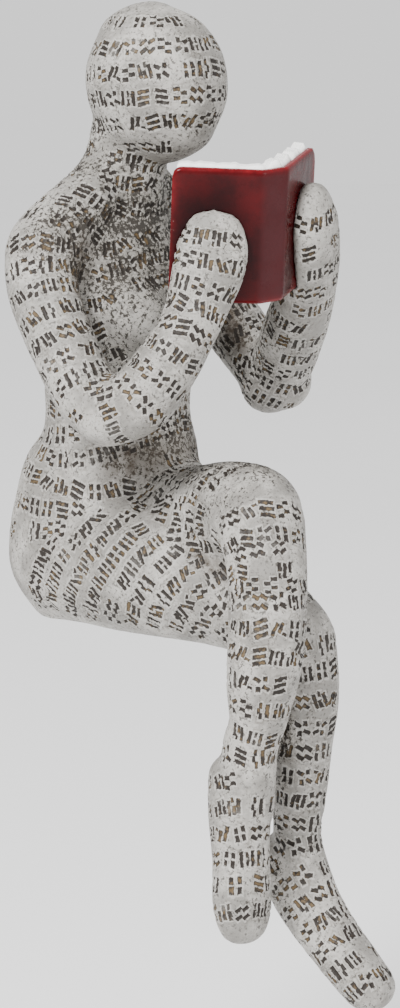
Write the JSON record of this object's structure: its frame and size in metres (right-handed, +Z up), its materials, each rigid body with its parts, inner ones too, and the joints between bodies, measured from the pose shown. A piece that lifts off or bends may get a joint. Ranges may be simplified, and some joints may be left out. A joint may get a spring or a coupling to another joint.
{
  "type": "reading woman figurine",
  "caption": "Cast resin shelf figurine of a seated woman with crossed hanging legs, reading an open red book; smooth faceless head, aged off-white finish with rows of stamped marks.",
  "frame": {"origin": "on the flat underside of the seat, under the hips", "axes": "+Z up towards the head, -Y the way the figure faces, +X towards its left hand"},
  "size_m": [0.0647, 0.0842, 0.1742],
  "materials": {
    "resin": "matte",
    "red_gloss": "gloss",
    "paper_white": "satin"
  },
  "bodies": {
    "root": {"woman": "resin", "book_cover": "red_gloss", "book_pages": "paper_white"}
  },
  "joints": []
}
